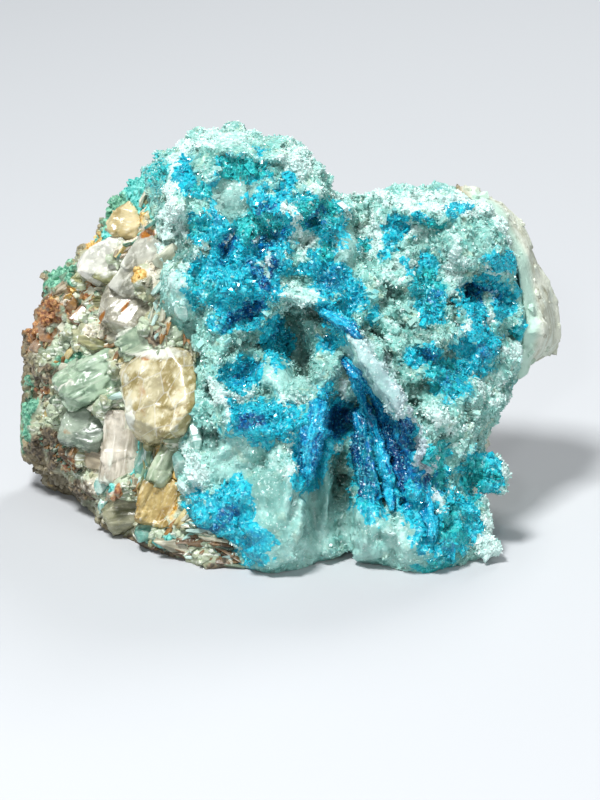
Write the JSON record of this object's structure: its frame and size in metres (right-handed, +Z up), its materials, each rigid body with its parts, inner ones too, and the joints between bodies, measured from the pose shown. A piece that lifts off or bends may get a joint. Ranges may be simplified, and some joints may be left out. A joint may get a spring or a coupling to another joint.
{
  "type": "hemimorphite specimen",
  "caption": "Hand specimen of mint and blue druse over a rough brown and green rock, with glassy crystals on its broken left side, resting on a flat foot.",
  "frame": {"origin": "on the flat resting face, under the middle of the specimen", "axes": "+Z up; +X along the width, to the right as seen from the show face; the show face looks along -Y and leans back"},
  "size_m": [0.0575, 0.0316, 0.0396],
  "materials": {
    "host_rock": "rough broken host rock, iron stained, with green and cream patches",
    "hemimorphite_crust": "sparkling druse of minute translucent mint crystals with bright blue patches",
    "blue_blade_fan": "glassy deep blue blades, striated along their length",
    "yellow_crystal": "broken glassy crystal with milky veils",
    "white_oval_crystal": "broken glassy crystal with milky veils",
    "clear_crystal": "broken glassy crystal with milky veils",
    "green_blade_crystal": "broken glassy crystal with milky veils",
    "sea_green_crystal": "broken glassy crystal with milky veils",
    "grey_glassy_crystal": "broken glassy crystal with milky veils",
    "tan_block_crystal": "broken glassy crystal with milky veils",
    "small_green_prism": "broken glassy crystal with milky veils",
    "ochre_crystal": "broken glassy crystal with milky veils",
    "olive_crystal": "broken glassy crystal with milky veils",
    "grey_white_crystal": "broken glassy crystal with milky veils",
    "cream_wedge_crystal": "broken glassy crystal with milky veils"
  },
  "bodies": {
    "root": {"host_rock": "host_rock", "hemimorphite_crust": "hemimorphite_crust", "blue_blade_fan": "blue_blade_fan", "yellow_crystal": "yellow_crystal", "white_oval_crystal": "white_oval_crystal", "clear_crystal": "clear_crystal", "green_blade_crystal": "green_blade_crystal", "sea_green_crystal": "sea_green_crystal", "grey_glassy_crystal": "grey_glassy_crystal", "tan_block_crystal": "tan_block_crystal", "small_green_prism": "small_green_prism", "ochre_crystal": "ochre_crystal", "olive_crystal": "olive_crystal", "grey_white_crystal": "grey_white_crystal", "cream_wedge_crystal": "cream_wedge_crystal"}
  },
  "joints": []
}
